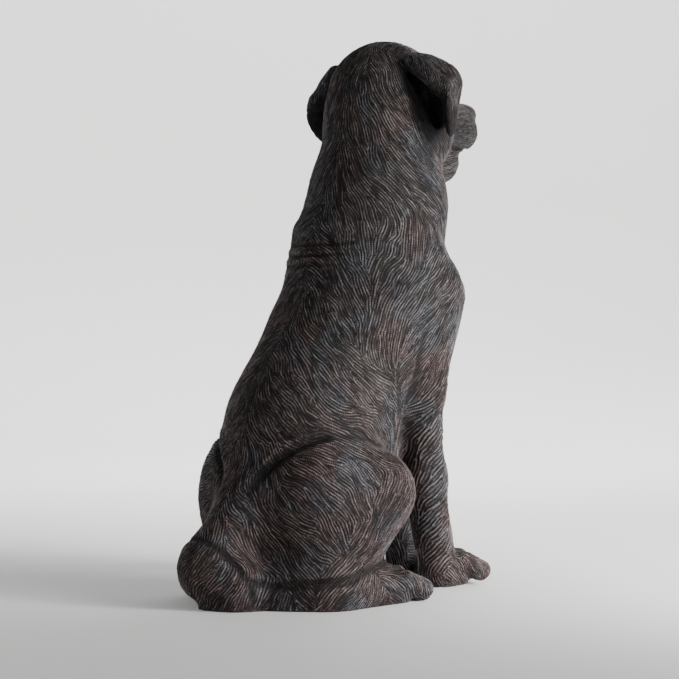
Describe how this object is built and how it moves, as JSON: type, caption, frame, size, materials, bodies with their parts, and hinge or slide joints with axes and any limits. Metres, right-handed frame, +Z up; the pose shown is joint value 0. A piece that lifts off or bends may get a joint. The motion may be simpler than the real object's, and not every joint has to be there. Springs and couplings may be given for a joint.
{
  "type": "dog statue",
  "caption": "Sitting short-haired dog with drop ears, cast in one piece of painted resin, that stands on a flat underside.",
  "frame": {"origin": "middle of the figure's length and width, on the surface that it stands on", "axes": "+Z up, the dog faces -Y, and its left side is at +X"},
  "size_m": [0.1514, 0.2569, 0.3601],
  "materials": {
    "resin": "satin"
  },
  "bodies": {
    "root": {"dog_statue": "resin"}
  },
  "joints": []
}
